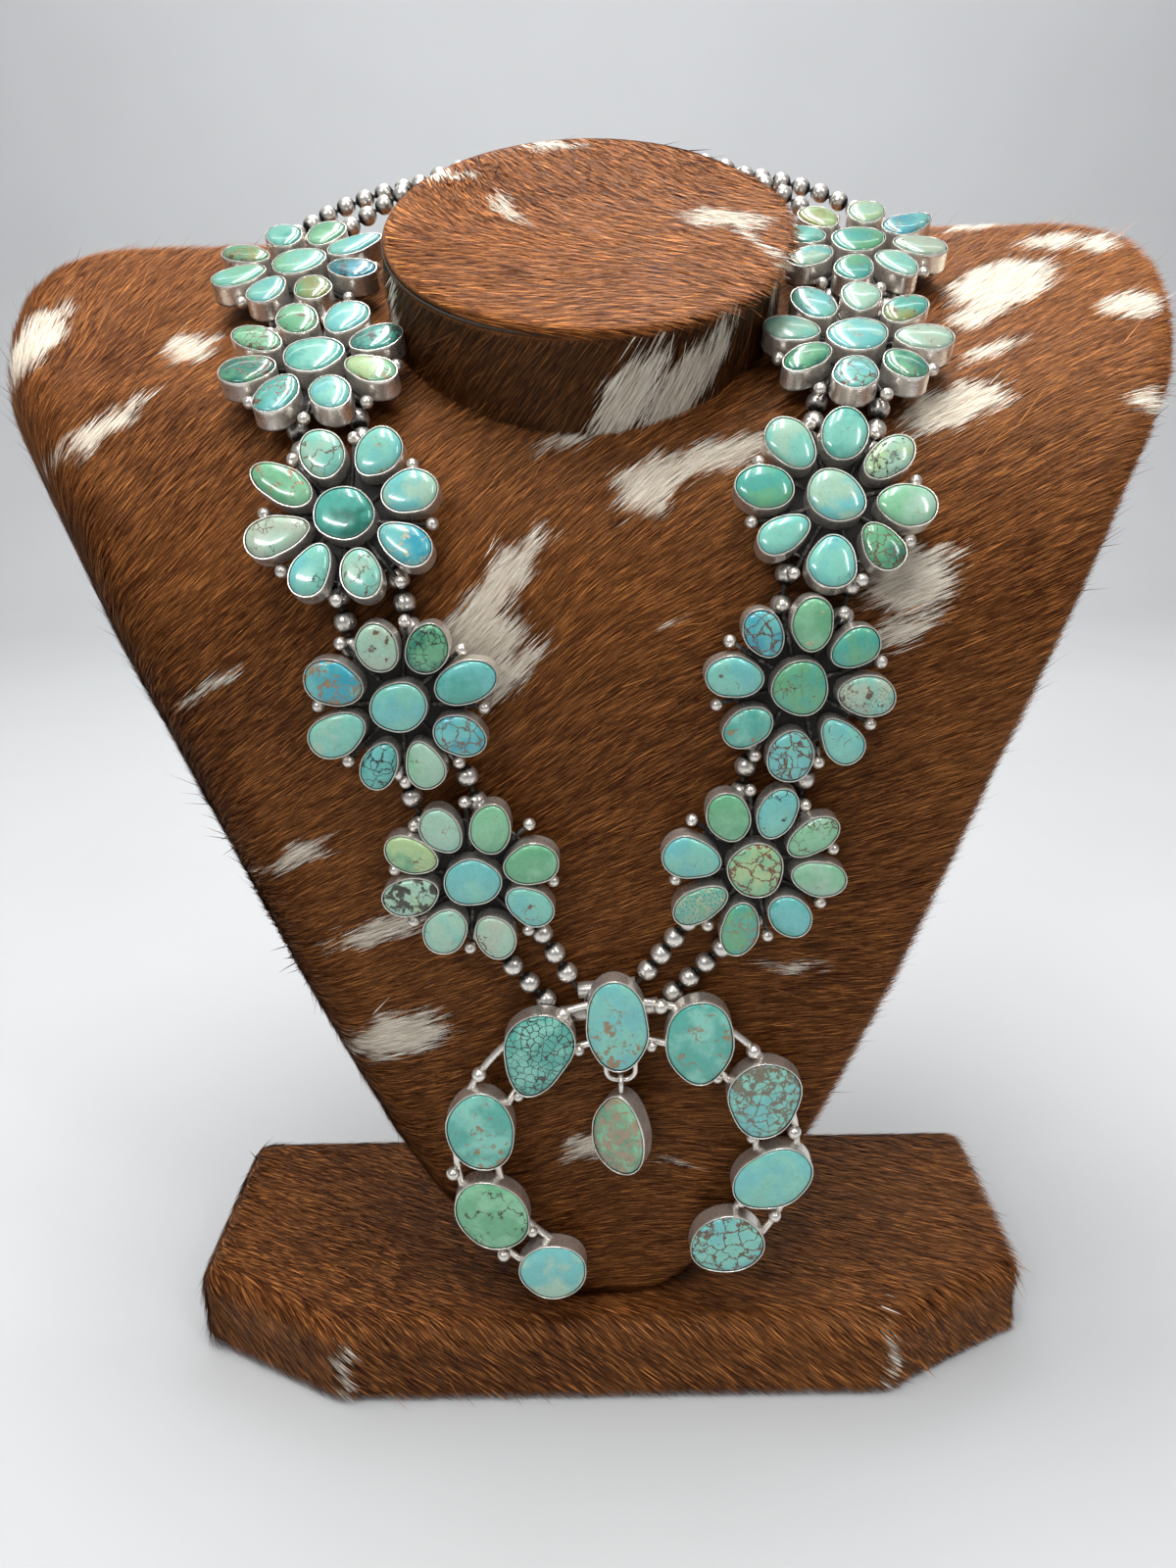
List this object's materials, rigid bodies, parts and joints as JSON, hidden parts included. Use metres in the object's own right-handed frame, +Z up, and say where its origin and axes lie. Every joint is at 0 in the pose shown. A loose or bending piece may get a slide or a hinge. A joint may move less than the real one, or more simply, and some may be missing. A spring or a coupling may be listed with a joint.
{
  "type": "squash blossom necklace on a neck bust",
  "caption": "Silver and turquoise squash blossom necklace with flower clusters, bead strands and a crescent pendant with a free drop, on a hide-covered neck bust.",
  "frame": {"origin": "middle of the base's underside, on the surface that the bust stands on", "axes": "+Z up; the front of the bust and the necklace's stones face -Y; +X is to the viewer's right"},
  "size_m": [0.324, 0.1353, 0.3481],
  "materials": {
    "felt": "dark felt",
    "cowhide": "brown cowhide with white patches, short glossy hair",
    "silver": "satin silver, oxidised black in the recesses",
    "bead_silver": "polished silver, dark at the seams",
    "bead_thread": "dark beading cord",
    "turquoise_blue": "polished turquoise, sky blue to green with brown matrix",
    "turquoise_green": "polished green turquoise with cream marbling"
  },
  "bodies": {
    "bust_and_necklace": {"base_felt": "felt", "base_block": "cowhide", "bust_form": "cowhide", "neck_stump": "cowhide", "neck_disc": "cowhide", "naja_frame": "silver", "thread_inner": "bead_thread", "thread_outer": "bead_thread", "clasp": "silver", "beads_back_inner": "bead_silver", "beads_back_outer": "bead_silver", "beads_left_inner": "bead_silver", "beads_left_outer": "bead_silver", "beads_right_inner": "bead_silver", "beads_right_outer": "bead_silver", "naja_stone_1": "turquoise_blue", "naja_stone_2": "turquoise_blue", "naja_stone_3": "turquoise_blue", "naja_stone_4": "turquoise_blue", "naja_stone_5": "turquoise_blue", "naja_stone_6": "turquoise_blue", "naja_stone_7": "turquoise_blue", "naja_stone_8": "turquoise_blue", "naja_stone_9": "turquoise_blue", "setting_left_1": "silver", "setting_left_2": "silver", "setting_left_3": "silver", "setting_left_4": "silver", "setting_left_5": "silver", "setting_right_1": "silver", "setting_right_2": "silver", "setting_right_3": "silver", "setting_right_4": "silver", "setting_right_5": "silver", "centre_left_1": "turquoise_blue", "centre_left_2": "turquoise_blue", "centre_left_3": "turquoise_blue", "centre_left_4": "turquoise_blue", "centre_left_5": "turquoise_blue", "centre_right_1": "turquoise_blue", "centre_right_2": "turquoise_blue", "centre_right_3": "turquoise_blue", "centre_right_4": "turquoise_blue", "centre_right_5": "turquoise_blue", "petals_left_1": "turquoise_blue", "petals_left_2": "turquoise_blue", "petals_left_3": "turquoise_blue", "petals_left_4": "turquoise_blue", "petals_left_5": "turquoise_blue", "petals_right_1": "turquoise_blue", "petals_right_2": "turquoise_blue", "petals_right_3": "turquoise_blue", "petals_right_4": "turquoise_blue", "petals_right_5": "turquoise_blue"},
    "drop": {"drop_setting": "silver", "drop_stone": "turquoise_green"}
  },
  "joints": [
    {"name": "drop_swing", "type": "hinge", "parent": "bust_and_necklace", "child": "drop", "pos_m": [0.00543, -0.0426, 0.1065], "axis": [-1, 0, 0], "range_deg": [-2, 70]}
  ]
}
